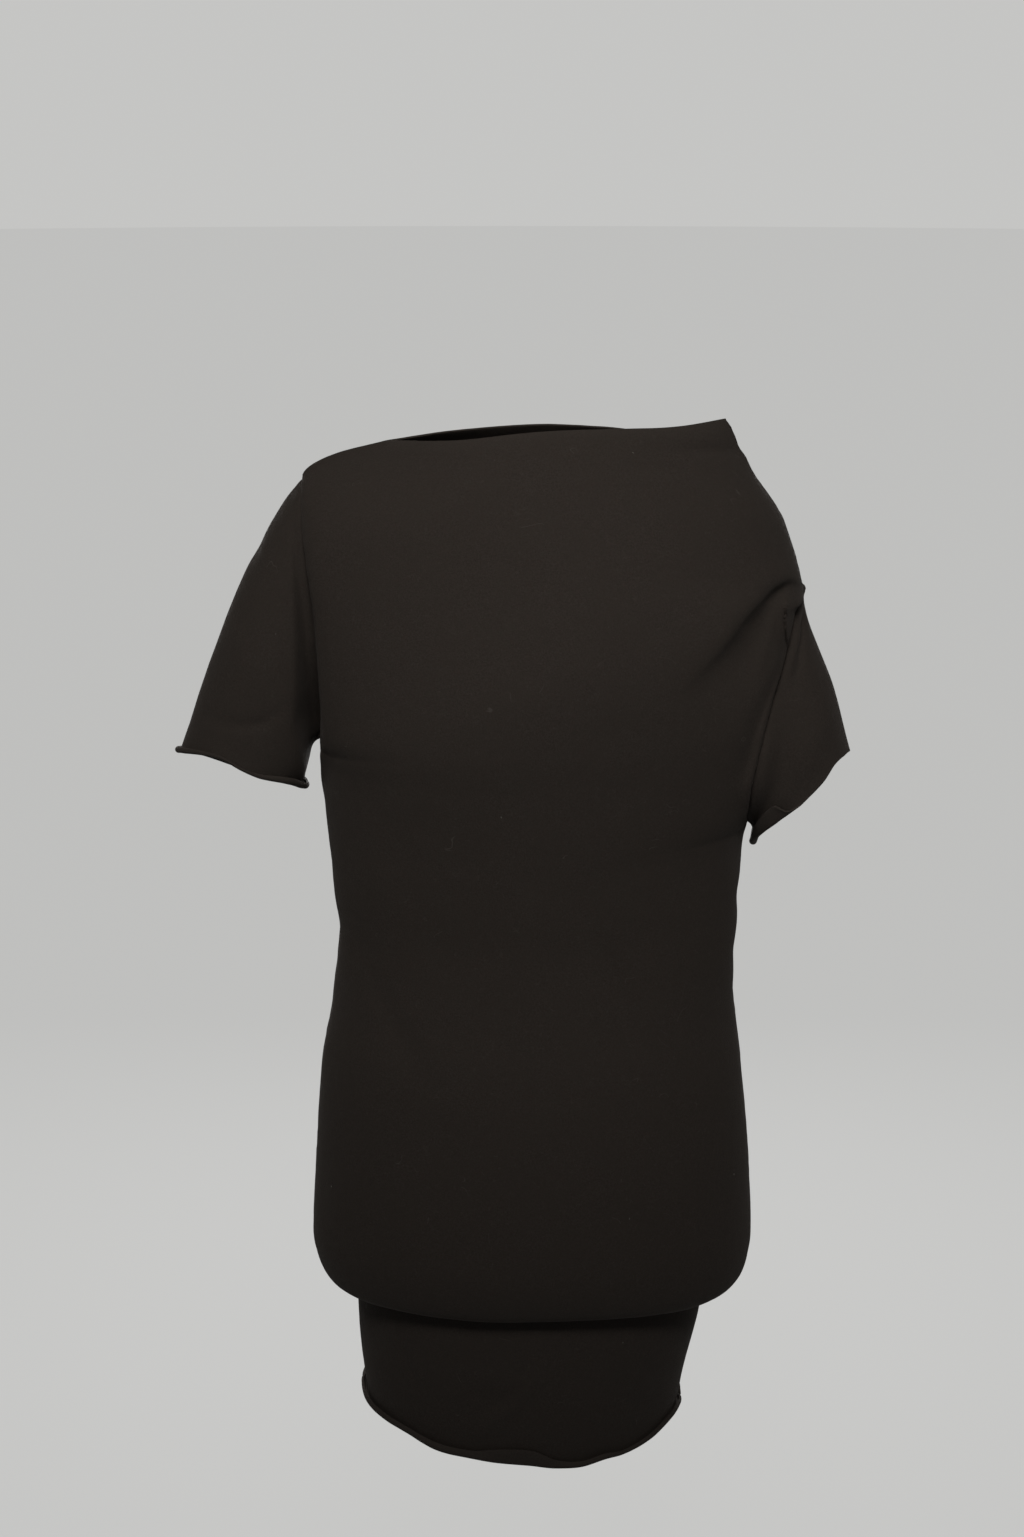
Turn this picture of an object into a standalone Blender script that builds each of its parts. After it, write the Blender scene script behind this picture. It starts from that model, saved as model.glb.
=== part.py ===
"""A short-sleeved sweater dress of fine jersey knit, hollow and filled out as it is worn.

Metres, +Z up.  The front of the dress faces -Y, and the wearer's right is at -X.  The origin is where
the wearer holds it up: the middle of the neck opening, at the height of the right shoulder's inner end.

The dress is six pieces of cloth: a front and a back that are bloused under at the bottom, two short
sleeves, and the two halves of the narrow hem band.  Each is a closed wall on its own middle surface.
Where two pieces meet, each stops just short of the seam, so that their walls stay a small gap apart.
"""
from collections import namedtuple
from math import cos, pi, sqrt

import bpy
import numpy as np

# ---- The cloth -----------------------------------------------------------------------------------
WALL = 0.0016               # thickness of the knit
SEAM_GAP = 0.0003           # clear space between two pieces along a seam
MAX_LEAN = 0.42 * pi        # the most that a seam is taken to lean from the cloth beside it
SEAM_ROUNDS = 30            # rounds in which a seam's direction is evened out between its pieces
SEAM_PUSH = 1.5             # how strongly each round turns it towards the piece that it suits least
ROLL_RADIUS = 0.0026        # the raw edges curl outwards: radius of the curl's middle surface
ROLL_TURN = 1.3 * pi        # how far round a raw edge curls
ROLL_STEPS = 3              # rows of facets round the curl

# ---- Fineness of the facets ------------------------------------------------------------------------
COLUMNS = 20                # facets across a front or back panel, side to side
SHOULDER_COLUMNS = 6        # of those, the ones along the right shoulder seam

# ---- The body, from the neck down to the band seam -------------------------------------------------
# One row for each level.  right_* and left_* are the wearer's right and left edges of the front and
# back panels, mid_z the height at the middle, front and back how far the cloth reaches from the
# plane Y = 0 there.  rows is how many rows of facets lead down to the next level.
Level = namedtuple("Level", "rows right_x right_z left_x left_z mid_z front back")
BODY = [
    Level(2, -0.2005, -0.0330, 0.1660, 0.0198, 0.0150, 0.057, 0.046),    # shoulder seam and neckline
    Level(2, -0.1995, -0.0490, 0.1890, -0.0250, -0.0160, 0.078, 0.070),
    Level(2, -0.1945, -0.0920, 0.2160, -0.0680, -0.0560, 0.094, 0.086),
    Level(2, -0.1875, -0.1520, 0.2340, -0.1290, -0.1020, 0.108, 0.094),   # the left over-arm nub
    Level(2, -0.1860, -0.2110, 0.2250, -0.1430, -0.1500, 0.119, 0.098),
    Level(2, -0.1880, -0.2540, 0.2150, -0.1820, -0.1980, 0.126, 0.098),   # fullest over the chest
    Level(1, -0.1905, -0.2685, 0.1990, -0.2345, -0.2450, 0.125, 0.094),   # right underarm
    Level(1, -0.1883, -0.2830, 0.1885, -0.2850, -0.2850, 0.119, 0.090),
    Level(2, -0.1865, -0.3100, 0.1870, -0.3220, -0.3180, 0.114, 0.086),
    Level(1, -0.1840, -0.3400, 0.1895, -0.3370, -0.3460, 0.110, 0.083),   # left underarm
    Level(2, -0.1815, -0.3660, 0.1868, -0.3540, -0.3620, 0.108, 0.082),
    Level(1, -0.1785, -0.4000, 0.1845, -0.3960, -0.4000, 0.104, 0.080),
    Level(2, -0.1755, -0.4430, 0.1825, -0.4450, -0.4440, 0.101, 0.078),   # waist
    Level(2, -0.1810, -0.5040, 0.1810, -0.5060, -0.5030, 0.105, 0.084),
    Level(2, -0.1920, -0.5620, 0.1895, -0.5620, -0.5570, 0.114, 0.097),
    Level(3, -0.1985, -0.6450, 0.1985, -0.6450, -0.6330, 0.125, 0.112),
    Level(2, -0.2038, -0.7250, 0.2026, -0.7250, -0.7080, 0.134, 0.122),   # widest, over the hips
    Level(1, -0.2012, -0.7500, 0.2008, -0.7520, -0.7390, 0.135, 0.124),
    Level(1, -0.1938, -0.7690, 0.1952, -0.7710, -0.7610, 0.131, 0.122),
    Level(1, -0.1828, -0.7785, 0.1828, -0.7815, -0.7710, 0.124, 0.116),   # bottom of the bloused fold
    Level(1, -0.1725, -0.7780, 0.1705, -0.7800, -0.7700, 0.116, 0.109),
    Level(0, -0.1640, -0.7700, 0.1600, -0.7720, -0.7630, 0.108, 0.102),   # seam to the hem band
]
NUB_LEVEL = 3               # where the left over-arm seam ends and the left sleeve starts
RIGHT_UNDERARM_LEVEL = 6
LEFT_UNDERARM_LEVEL = 9
BODY_SQUARENESS = 2.35      # 2 makes each section half an ellipse, more makes it squarer
ARMHOLE_REACH = 0.054       # how far an armhole's edge lies in front of and behind the side
NECK_FADE = 2.0             # levels over which the neck edge's own shape dies away

# The neck edge, from its corner on the wearer's right to the one that stands up on the left.
NeckPoint = namedtuple("NeckPoint", "x front front_z back back_z")
NECK = [
    NeckPoint(-0.127, 0.000, 0.0000, 0.000, 0.0000),
    NeckPoint(-0.063, 0.043, 0.0068, 0.036, 0.0050),
    NeckPoint(0.004, 0.057, 0.0155, 0.046, 0.0080),
    NeckPoint(0.060, 0.053, 0.0170, 0.043, 0.0060),
    NeckPoint(0.118, 0.033, 0.0165, 0.028, 0.0040),
    NeckPoint(0.166, 0.000, 0.0198, 0.000, 0.0198),
]
SHOULDER_ARCH = 0.009       # how far the right shoulder seam arches above a straight line

# ---- The sleeves -----------------------------------------------------------------------------------
# Each sleeve is a tube of slanted rings.  over_* is a ring's point on top of the arm, under_* the one
# below it, reach half its depth, lift how far its front is raised and its back lowered.  Below the
# middle a ring is squarer than an ellipse, because the cloth folds back sharply at the underarm.
Ring = namedtuple("Ring", "rows over_x over_z under_x under_z reach lift")
RIGHT_SLEEVE = [
    Ring(1, -0.2005, -0.0330, -0.1905, -0.2685, 0.054, 0.000),            # the armhole itself
    Ring(2, -0.2205, -0.0600, -0.1975, -0.2745, 0.055, 0.001),
    Ring(2, -0.2538, -0.1200, -0.2005, -0.2850, 0.061, 0.004),
    Ring(2, -0.2832, -0.1920, -0.2030, -0.2950, 0.062, 0.009),
    Ring(0, -0.3125, -0.2760, -0.2065, -0.3050, 0.061, 0.016),            # the hem
]
LEFT_SLEEVE = [
    Ring(1, 0.2340, -0.1290, 0.1895, -0.3370, 0.054, 0.000),
    Ring(2, 0.2400, -0.1580, 0.1960, -0.3440, 0.058, 0.002),
    Ring(2, 0.2612, -0.2120, 0.1995, -0.3545, 0.062, 0.011),
    Ring(0, 0.2775, -0.2690, 0.2005, -0.3605, 0.061, 0.019),
]

UNDERARM_SQUARENESS = 2.8   # 2 would make the lower half of each ring half an ellipse

# ---- The hem band ----------------------------------------------------------------------------------
# right_x and left_x are its sides, front and back its reach; its top edge is the body's lowest level.
BandRing = namedtuple("BandRing", "rows right_x right_z left_x left_z mid_z front back")
BAND = [
    BandRing(2, -0.1640, -0.7700, 0.1600, -0.7720, -0.7630, 0.108, 0.102),
    BandRing(2, -0.1625, -0.8120, 0.1560, -0.8150, -0.8150, 0.114, 0.107),
    BandRing(2, -0.1600, -0.8560, 0.1450, -0.8640, -0.8700, 0.116, 0.109),
    BandRing(0, -0.1560, -0.8940, 0.1375, -0.9060, -0.9170, 0.114, 0.108),
]

# ---- The largest folds -----------------------------------------------------------------------------
# Each runs from one place to another as seen from in front (or from behind, on the back panel).
# height is how far it stands out, below zero for a trough; width is half its breadth.
Fold = namedtuple("Fold", "from_x from_z to_x to_z width height")
FRONT_FOLDS = [
    Fold(0.222, -0.136, 0.160, -0.196, 0.014, 0.006),                      # cloth pulled to the nub
    Fold(0.205, -0.160, 0.120, -0.215, 0.014, -0.006),
]
BACK_FOLDS = [
    Fold(0.222, -0.140, 0.150, -0.210, 0.018, 0.005),
    Fold(0.212, -0.165, 0.130, -0.240, 0.018, -0.005),
]
FOLD_ONSET = 3.0            # how soon the folds reach their full height from a panel's side edges

# ---- Finish ----------------------------------------------------------------------------------------
KNIT_COLOUR = (0.030, 0.022, 0.017, 1.0)
KNIT_ROUGHNESS = 0.9

# A piece of cloth as rows of points on its middle surface.  normals face outwards, facing is 1 where
# going down and then across turns outwards and -1 where it turns inwards, ring is True for a tube.
Piece = namedtuple("Piece", "name points normals facing ring")


# ---- Curves and sections ---------------------------------------------------------------------------
def unit(vectors):
    """Vectors of length one."""
    return vectors / np.linalg.norm(vectors, axis=-1, keepdims=True)


def stations(table):
    """The places down a table, in fractional rows, where a row of facets lies."""
    places = [number + step / row.rows for number, row in enumerate(table) for step in range(row.rows)]
    return np.array(places + [len(table) - 1.0])


def spline(table, places):
    """The numbers of a table read at fractional rows, on smooth curves through its rows."""
    table = np.asarray(table, dtype=float)
    slopes = np.gradient(table, axis=0)
    low = np.clip(places.astype(int), 0, len(table) - 2)
    t = (places - low)[:, None]
    step = table[low + 1] - table[low]
    bend = 3 * step - 2 * slopes[low] - slopes[low + 1]
    twist = slopes[low] + slopes[low + 1] - 2 * step
    return table[low] + slopes[low] * t + bend * t ** 2 + twist * t ** 3


def half_rings(side, sizes, right_open=0.0, left_open=0.0):
    """Rows across one panel from its right edge to its left, each half of a rounded section.

    side is -1 in front and 1 behind.  right_open and left_open are how far an armhole holds the
    panel's edge away from the plane Y = 0."""
    right_x, right_z, left_x, left_z, mid_z, front, back = (column[:, None] for column in sizes.T)
    reach = front if side < 0 else back
    angle = np.linspace(-pi / 2, pi / 2, COLUMNS + 1)
    across = np.sin(angle)
    bulge = np.cos(angle).clip(0) ** (2 / BODY_SQUARENESS)
    right_edge = np.reshape(right_open, (-1, 1)) * (1 - across) / 2
    left_edge = np.reshape(left_open, (-1, 1)) * (1 + across) / 2
    edge = right_edge + left_edge
    x = (right_x + left_x) / 2 + (left_x - right_x) / 2 * across
    y = side * (edge + (reach - edge) * bulge)
    sides_z = (right_z + left_z) / 2
    z = mid_z + (left_z - right_z) / 2 * across + (sides_z - mid_z) * across ** 2
    return np.stack(np.broadcast_arrays(x, y, z), axis=-1)


def surface_normals(points, facing, ring=False):
    """Outward directions on a grid of points."""
    down = np.gradient(points, axis=0)
    if ring:
        across = np.roll(points, -1, axis=1) - np.roll(points, 1, axis=1)
    else:
        across = np.gradient(points, axis=1)
    return facing * unit(np.cross(down, across))


# ---- The pieces ------------------------------------------------------------------------------------
def armhole_opening(places, first, last):
    """How far an armhole holds a panel's edge off the side at each level: half a wave."""
    return ARMHOLE_REACH * np.sin(pi * ((places - first) / (last - first)).clip(0, 1))


def neck_edge(side):
    """The top edge of a panel: the right shoulder seam, then the neckline."""
    tip = np.array([BODY[0].right_x, 0.0, BODY[0].right_z])
    corner = np.array([NECK[0].x, 0.0, NECK[0].front_z])
    along = np.linspace(0, 1, SHOULDER_COLUMNS, endpoint=False)[:, None]
    shoulder = tip + (corner - tip) * along
    shoulder[:, 2] += SHOULDER_ARCH * np.sin(pi * np.sqrt(along[:, 0]))
    if side < 0:
        neck = [(row.x, -row.front, row.front_z) for row in NECK]
    else:
        neck = [(row.x, row.back, row.back_z) for row in NECK]
    places = np.linspace(0, len(NECK) - 1, COLUMNS - SHOULDER_COLUMNS + 1)
    return np.concatenate([shoulder, spline(neck, places)])


def fold_heights(points, folds):
    """How far the folds raise or sink each point of a panel, as seen from in front."""
    heights = np.zeros(points.shape[:2])
    place = points[..., ::2]
    for fold in folds:
        start = np.array([fold.from_x, fold.from_z])
        run = np.array([fold.to_x, fold.to_z]) - start
        along = ((place - start) @ run / (run @ run)).clip(0, 1)
        away = np.linalg.norm(place - start - along[..., None] * run, axis=-1)
        heights += fold.height * np.sqrt(1 - along) * np.exp(-(away / fold.width) ** 2)
    return heights


def body_panel(name, side, folds):
    """The front or back panel, from the shoulder and neck down to the seam with the hem band."""
    places = stations(BODY)
    sizes = spline([row[1:] for row in BODY], places)
    right_open = armhole_opening(places, 0, RIGHT_UNDERARM_LEVEL)
    left_open = armhole_opening(places, NUB_LEVEL, LEFT_UNDERARM_LEVEL)
    points = half_rings(side, sizes, right_open, left_open)
    fade = (1 - places / NECK_FADE).clip(0) ** 2
    points += fade[:, None, None] * (neck_edge(side) - points[0])
    normals = surface_normals(points, -side)
    inside = np.sin(np.linspace(0, pi, COLUMNS + 1))
    heights = fold_heights(points, folds) * (FOLD_ONSET * inside).clip(0, 1) * (1 - fade)[:, None]
    points += heights[..., None] * normals
    return Piece(name, points, surface_normals(points, -side), -side, False)


def armhole_ring(front, back, first, last, column):
    """The points round an armhole: down the front panel's edge and up the back panel's."""
    places = stations(BODY)
    rows = np.flatnonzero((places >= first) & (places <= last))
    return np.concatenate([front.points[rows, column], back.points[rows[-2:0:-1], column]])


def sleeve(name, table, armhole, facing):
    """A tube of slanted rings from an armhole to a curled hem."""
    places = stations(table)
    sizes = spline([row[1:] for row in table], places)
    over_x, over_z, under_x, under_z, reach, lift = (column[:, None] for column in sizes.T)
    height = (armhole[:, 2] - table[0].under_z) / (table[0].over_z - table[0].under_z)
    up = (2 * height - 1).clip(-1, 1)
    squareness = np.where(up < 0, UNDERARM_SQUARENESS, 2.0)
    forward = np.where(armhole[:, 1] <= 0, 1, -1) * (1 - abs(up) ** squareness) ** (1 / squareness)
    x = (over_x + under_x) / 2 + (over_x - under_x) / 2 * up
    y = -reach * forward
    z = (over_z + under_z) / 2 + (over_z - under_z) / 2 * up + lift * forward
    points = np.stack(np.broadcast_arrays(x, y, z), axis=-1)
    fade = (1 - places / (len(table) - 1)) ** 2
    points += fade[:, None, None] * (armhole - points[0])
    return with_curled_edge(name, points, facing, True)


def band_half(name, side):
    """Half of the hem band, hanging from the body's turned-up lower edge to a curled hem."""
    sizes = spline([row[1:] for row in BAND], stations(BAND))
    return with_curled_edge(name, half_rings(side, sizes), -side, False)


def with_curled_edge(name, points, facing, ring):
    """A piece with its last row carried on round an outward curl, as a raw knit edge rolls."""
    outward = surface_normals(points, facing, ring)[-1]
    if not ring:
        outward[[0, -1], 1] = 0.0
        outward = unit(outward)
    onward = unit(points[-1] - points[-2])
    outward = unit(outward - np.sum(outward * onward, axis=-1, keepdims=True) * onward)
    rows = [points]
    for turn in ROLL_TURN * np.arange(1, ROLL_STEPS + 1) / ROLL_STEPS:
        round_curl = (1 - np.cos(turn)) * outward + np.sin(turn) * onward
        rows.append(points[-1:] + ROLL_RADIUS * round_curl)
    points = np.concatenate(rows)
    return Piece(name, points, surface_normals(points, facing, ring), facing, ring)


# ---- Walls from the pieces -------------------------------------------------------------------------
def place_key(point):
    """A point's name, the same for the points of two pieces that meet there."""
    return tuple(np.round(point * 1e6).astype(int))


def edge_cells(piece):
    """The row and column of each point on a piece's edges."""
    rows, columns = piece.points.shape[:2]
    ends = [(row, column) for row in (0, rows - 1) for column in range(columns)]
    if piece.ring:
        return ends
    sides = [(row, column) for row in range(1, rows - 1) for column in (0, columns - 1)]
    return ends + sides


def seam_directions(pieces):
    """For each point where pieces meet, the outward direction that suits all of them equally."""
    meeting = {}
    for piece in pieces:
        for cell in edge_cells(piece):
            meeting.setdefault(place_key(piece.points[cell]), []).append(piece.normals[cell])
    shared = {}
    for key, normals in meeting.items():
        normals = np.array(normals)
        weights = np.ones(len(normals))
        for _ in range(SEAM_ROUNDS):
            direction = unit(weights @ normals)
            weights *= SEAM_PUSH - normals @ direction
            weights /= weights.sum()
        shared[key] = direction
    return shared


def pull_back(piece, cell, shared):
    """How far an edge stops short of its seam, so that two walls meeting at an angle stay apart."""
    lean = np.clip(piece.normals[cell] @ shared[place_key(piece.points[cell])], cos(MAX_LEAN), 1.0)
    return (SEAM_GAP / 2 + WALL / 2 * sqrt(1 - lean ** 2)) / lean


def wall_skins(piece, shared):
    """The outer and inner skin of a piece, stopping just short of its seams."""
    points = piece.points
    if piece.ring:
        along_row = unit(np.roll(points, -1, axis=1) - np.roll(points, 1, axis=1))
    else:
        along_row = unit(np.gradient(points, axis=1))
    along_column = unit(np.gradient(points, axis=0))
    inwards = np.zeros_like(points)
    inwards[0] += piece.facing * np.cross(along_row[0], piece.normals[0])
    inwards[-1] -= piece.facing * np.cross(along_row[-1], piece.normals[-1])
    if not piece.ring:
        inwards[:, 0] += piece.facing * np.cross(piece.normals[:, 0], along_column[:, 0])
        inwards[:, -1] -= piece.facing * np.cross(piece.normals[:, -1], along_column[:, -1])
    middle = points.copy()
    for cell in edge_cells(piece):
        middle[cell] += pull_back(piece, cell, shared) * inwards[cell]
    return middle + WALL / 2 * piece.normals, middle - WALL / 2 * piece.normals


def wall_faces(piece):
    """Faces of the outer skin, the inner skin and the edges between them, all facing out."""
    rows, columns = piece.points.shape[:2]
    outer = np.arange(rows * columns).reshape(rows, columns)
    inner = outer + rows * columns
    if piece.ring:
        outer = np.column_stack([outer, outer[:, 0]])
        inner = np.column_stack([inner, inner[:, 0]])
    quads = []
    for skin, order in ((outer, [0, 1, 2, 3]), (inner, [0, 3, 2, 1])):
        corners = np.stack([skin[:-1, :-1], skin[1:, :-1], skin[1:, 1:], skin[:-1, 1:]], axis=-1)
        quads += corners.reshape(-1, 4)[:, order].tolist()
    borders = [(outer[0], inner[0], 1), (outer[-1], inner[-1], -1)]
    if not piece.ring:
        borders += [(outer[:, 0], inner[:, 0], -1), (outer[:, -1], inner[:, -1], 1)]
    for outside, inside, turn in borders:
        strip = np.stack([outside[:-1], outside[1:], inside[1:], inside[:-1]], axis=-1)
        quads += strip[:, ::turn].tolist()
    if piece.facing < 0:
        quads = [quad[::-1] for quad in quads]
    return quads


def knit_material(name):
    """Dark brown wool knit."""
    material = bpy.data.materials.new(name + "_knit")
    material.use_nodes = True
    shader = material.node_tree.nodes["Principled BSDF"]
    shader.inputs["Base Color"].default_value = KNIT_COLOUR
    shader.inputs["Roughness"].default_value = KNIT_ROUGHNESS
    shader.inputs["Metallic"].default_value = 0.0
    return material


def add_wall(piece, shared, collection):
    """The piece as a closed solid wall in the scene."""
    outer, inner = wall_skins(piece, shared)
    mesh = bpy.data.meshes.new(piece.name)
    vertices = np.concatenate([outer.reshape(-1, 3), inner.reshape(-1, 3)])
    mesh.from_pydata(vertices.tolist(), [], wall_faces(piece))
    mesh.shade_smooth()
    mesh.set_sharp_from_angle(angle=pi / 4)
    mesh.materials.append(knit_material(piece.name))
    collection.objects.link(bpy.data.objects.new(piece.name, mesh))


def dress_pieces():
    """The six pieces of cloth, meeting point to point along their seams."""
    front = body_panel("front", -1, FRONT_FOLDS)
    back = body_panel("back", 1, BACK_FOLDS)
    right_armhole = armhole_ring(front, back, 0, RIGHT_UNDERARM_LEVEL, 0)
    left_armhole = armhole_ring(front, back, NUB_LEVEL, LEFT_UNDERARM_LEVEL, -1)
    return [
        front,
        back,
        sleeve("sleeve_right", RIGHT_SLEEVE, right_armhole, 1),
        sleeve("sleeve_left", LEFT_SLEEVE, left_armhole, -1),
        band_half("band_front", -1),
        band_half("band_back", 1),
    ]


def main():
    """Clear the scene and build the dress."""
    for old in list(bpy.data.objects):
        bpy.data.objects.remove(old, do_unlink=True)
    collection = bpy.data.collections.new("sweater_dress")
    bpy.context.scene.collection.children.link(collection)
    pieces = dress_pieces()
    shared = seam_directions(pieces)
    for piece in pieces:
        add_wall(piece, shared, collection)


main()
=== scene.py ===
"""The looks of a short-sleeved sweater dress of fine felted jersey, hollow and filled out as worn.

Metres, +Z up, but for the tables of creases and raw edges, which are in millimetres.  The front of the
dress faces -Y, and the wearer's right is at -X.  Six pieces of knit are laid on the middle surfaces of
the frame's six walls, point to point along their seams.  Creases, seam grooves, curled raw edges and a
soft unevenness are then pressed into them in their own sizes.
"""

from collections import namedtuple
from math import cos, pi, radians, sqrt

import bpy
import numpy as np
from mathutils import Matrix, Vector, noise


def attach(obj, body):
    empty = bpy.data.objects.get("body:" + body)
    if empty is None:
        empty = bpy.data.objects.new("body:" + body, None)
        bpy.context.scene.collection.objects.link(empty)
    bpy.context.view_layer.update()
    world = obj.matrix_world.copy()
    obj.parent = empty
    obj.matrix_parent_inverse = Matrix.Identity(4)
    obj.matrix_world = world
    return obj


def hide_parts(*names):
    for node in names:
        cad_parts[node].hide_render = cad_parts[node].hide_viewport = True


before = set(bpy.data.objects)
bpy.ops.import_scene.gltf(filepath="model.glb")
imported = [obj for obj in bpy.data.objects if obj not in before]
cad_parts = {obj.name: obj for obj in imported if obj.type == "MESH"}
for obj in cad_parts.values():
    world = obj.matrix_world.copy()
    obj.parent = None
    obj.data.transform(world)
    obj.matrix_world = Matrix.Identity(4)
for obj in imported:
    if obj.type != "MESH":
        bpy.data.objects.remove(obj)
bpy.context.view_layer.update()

# ---- The cloth ----------------------------------------------------------------------------------
WALL = 0.0016               # thickness of the knit
SEAM_GAP = 0.00002          # clear space between two pieces along a seam
SEAM_ROOM = 0.4             # share taken of the room that two walls need where they meet at an angle
MAX_LEAN = 0.42 * pi        # the most that a seam is taken to lean from the cloth beside it
SEAM_ROUNDS = 30            # rounds in which a seam's direction is evened out between its pieces
SEAM_PUSH = 1.5             # how strongly each round turns it towards the piece that it suits least
RIM_ROUNDING = 0.0005       # how far the cut edges of the wall are rounded
RIM_ANGLE = radians(55)     # edges that turn by more than this are rounded
MILLIMETRES = 1000          # to a metre

# ---- Fineness of the mesh -----------------------------------------------------------------------
COLUMNS = 190               # facets across a front or back panel, side to side
SHOULDER_COLUMNS = 57       # of those, the ones along the right shoulder seam

# ---- The body, from the neck down to the band seam ----------------------------------------------
# One row for each level.  right_* and left_* are the wearer's right and left edges of the front and
# back panels, mid_z the height at the middle, front and back how far the cloth reaches from the
# plane Y = 0 there.  rows is the number of rows of facets down to the next level.
Level = namedtuple("Level", "rows right_x right_z left_x left_z mid_z front back")
BODY = [
    Level(12, -0.2005, -0.0330, 0.1660, 0.0198, 0.0150, 0.057, 0.046),    # shoulder seam and neckline
    Level(16, -0.1995, -0.0490, 0.1890, -0.0250, -0.0160, 0.078, 0.070),
    Level(20, -0.1945, -0.0920, 0.2160, -0.0680, -0.0560, 0.094, 0.086),
    Level(22, -0.1875, -0.1520, 0.2340, -0.1290, -0.1020, 0.108, 0.094),   # the left over-arm nub
    Level(18, -0.1860, -0.2110, 0.2250, -0.1430, -0.1500, 0.119, 0.098),
    Level(12, -0.1880, -0.2540, 0.2150, -0.1820, -0.1980, 0.126, 0.098),   # fullest over the chest
    Level(10, -0.1905, -0.2685, 0.1990, -0.2345, -0.2450, 0.125, 0.094),   # right underarm
    Level(8, -0.1883, -0.2830, 0.1885, -0.2850, -0.2850, 0.119, 0.090),
    Level(7, -0.1865, -0.3100, 0.1870, -0.3220, -0.3180, 0.114, 0.086),
    Level(5, -0.1840, -0.3400, 0.1895, -0.3370, -0.3460, 0.110, 0.083),   # left underarm
    Level(9, -0.1815, -0.3660, 0.1868, -0.3540, -0.3620, 0.108, 0.082),
    Level(9, -0.1785, -0.4000, 0.1845, -0.3960, -0.4000, 0.104, 0.080),
    Level(12, -0.1755, -0.4430, 0.1825, -0.4450, -0.4440, 0.101, 0.078),   # waist
    Level(10, -0.1810, -0.5040, 0.1810, -0.5060, -0.5030, 0.105, 0.084),
    Level(14, -0.1920, -0.5620, 0.1895, -0.5620, -0.5570, 0.114, 0.097),
    Level(14, -0.1985, -0.6450, 0.1985, -0.6450, -0.6330, 0.125, 0.112),
    Level(8, -0.2038, -0.7250, 0.2026, -0.7250, -0.7080, 0.134, 0.122),   # widest, over the hips
    Level(8, -0.2012, -0.7500, 0.2008, -0.7520, -0.7390, 0.135, 0.124),
    Level(8, -0.1938, -0.7690, 0.1952, -0.7710, -0.7610, 0.131, 0.122),
    Level(5, -0.1828, -0.7785, 0.1828, -0.7815, -0.7710, 0.124, 0.116),   # bottom of the bloused fold
    Level(5, -0.1725, -0.7780, 0.1705, -0.7800, -0.7700, 0.116, 0.109),
    Level(0, -0.1640, -0.7700, 0.1600, -0.7720, -0.7630, 0.108, 0.102),   # seam to the hem band
]
NUB_LEVEL = 3               # where the left over-arm seam ends and the left sleeve starts
RIGHT_UNDERARM_LEVEL = 6
LEFT_UNDERARM_LEVEL = 9
BODY_SQUARENESS = 2.35      # 2 makes each section half an ellipse, more makes it squarer
ARMHOLE_REACH = 0.054       # how far an armhole's edge lies in front of and behind the side
ARMHOLE_FADE = 2.5          # how fast the pull of that edge dies away towards the middle
NECK_FADE = 2.0             # levels over which the neck edge's own shape dies away

# The neck edge, from its corner on the wearer's right to the one that stands up on the left.
NeckPoint = namedtuple("NeckPoint", "x front front_z back back_z")
NECK = [
    NeckPoint(-0.127, 0.000, 0.0000, 0.000, 0.0000),
    NeckPoint(-0.063, 0.043, 0.0068, 0.036, 0.0050),
    NeckPoint(0.004, 0.057, 0.0155, 0.046, 0.0080),
    NeckPoint(0.060, 0.053, 0.0170, 0.043, 0.0060),
    NeckPoint(0.118, 0.033, 0.0165, 0.028, 0.0040),
    NeckPoint(0.166, 0.000, 0.0198, 0.000, 0.0198),
]
SHOULDER_ARCH = 0.009       # how far the right shoulder seam arches above a straight line

# ---- The sleeves --------------------------------------------------------------------------------
# Each sleeve is a tube of slanted rings.  over_* is a ring's point on top of the arm, under_* the one
# below it, reach half its depth, lift how far its front is raised and its back lowered.
UNDERARM_SQUARENESS = 2.8   # above 2, the lower half of each ring is fuller than an ellipse
Ring = namedtuple("Ring", "rows over_x over_z under_x under_z reach lift")
RIGHT_SLEEVE = [
    Ring(12, -0.2005, -0.0330, -0.1905, -0.2685, 0.054, 0.000),            # the armhole itself
    Ring(16, -0.2205, -0.0600, -0.1975, -0.2745, 0.055, 0.001),
    Ring(18, -0.2538, -0.1200, -0.2005, -0.2850, 0.061, 0.004),
    Ring(20, -0.2832, -0.1920, -0.2030, -0.2950, 0.062, 0.009),
    Ring(0, -0.3125, -0.2760, -0.2065, -0.3050, 0.061, 0.016),            # the hem
]
LEFT_SLEEVE = [
    Ring(8, 0.2340, -0.1290, 0.1895, -0.3370, 0.054, 0.000),
    Ring(14, 0.2400, -0.1580, 0.1960, -0.3440, 0.058, 0.002),
    Ring(18, 0.2612, -0.2120, 0.1995, -0.3545, 0.062, 0.011),
    Ring(0, 0.2775, -0.2690, 0.2005, -0.3605, 0.061, 0.019),
]

# ---- The hem band -------------------------------------------------------------------------------
# Its rows say the same as the body's.
BAND = [
    Level(18, -0.1640, -0.7700, 0.1600, -0.7720, -0.7630, 0.108, 0.102),
    Level(20, -0.1625, -0.8120, 0.1560, -0.8150, -0.8150, 0.114, 0.107),
    Level(20, -0.1600, -0.8560, 0.1450, -0.8640, -0.8700, 0.116, 0.109),
    Level(0, -0.1560, -0.8940, 0.1375, -0.9060, -0.9170, 0.114, 0.108),
]

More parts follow.
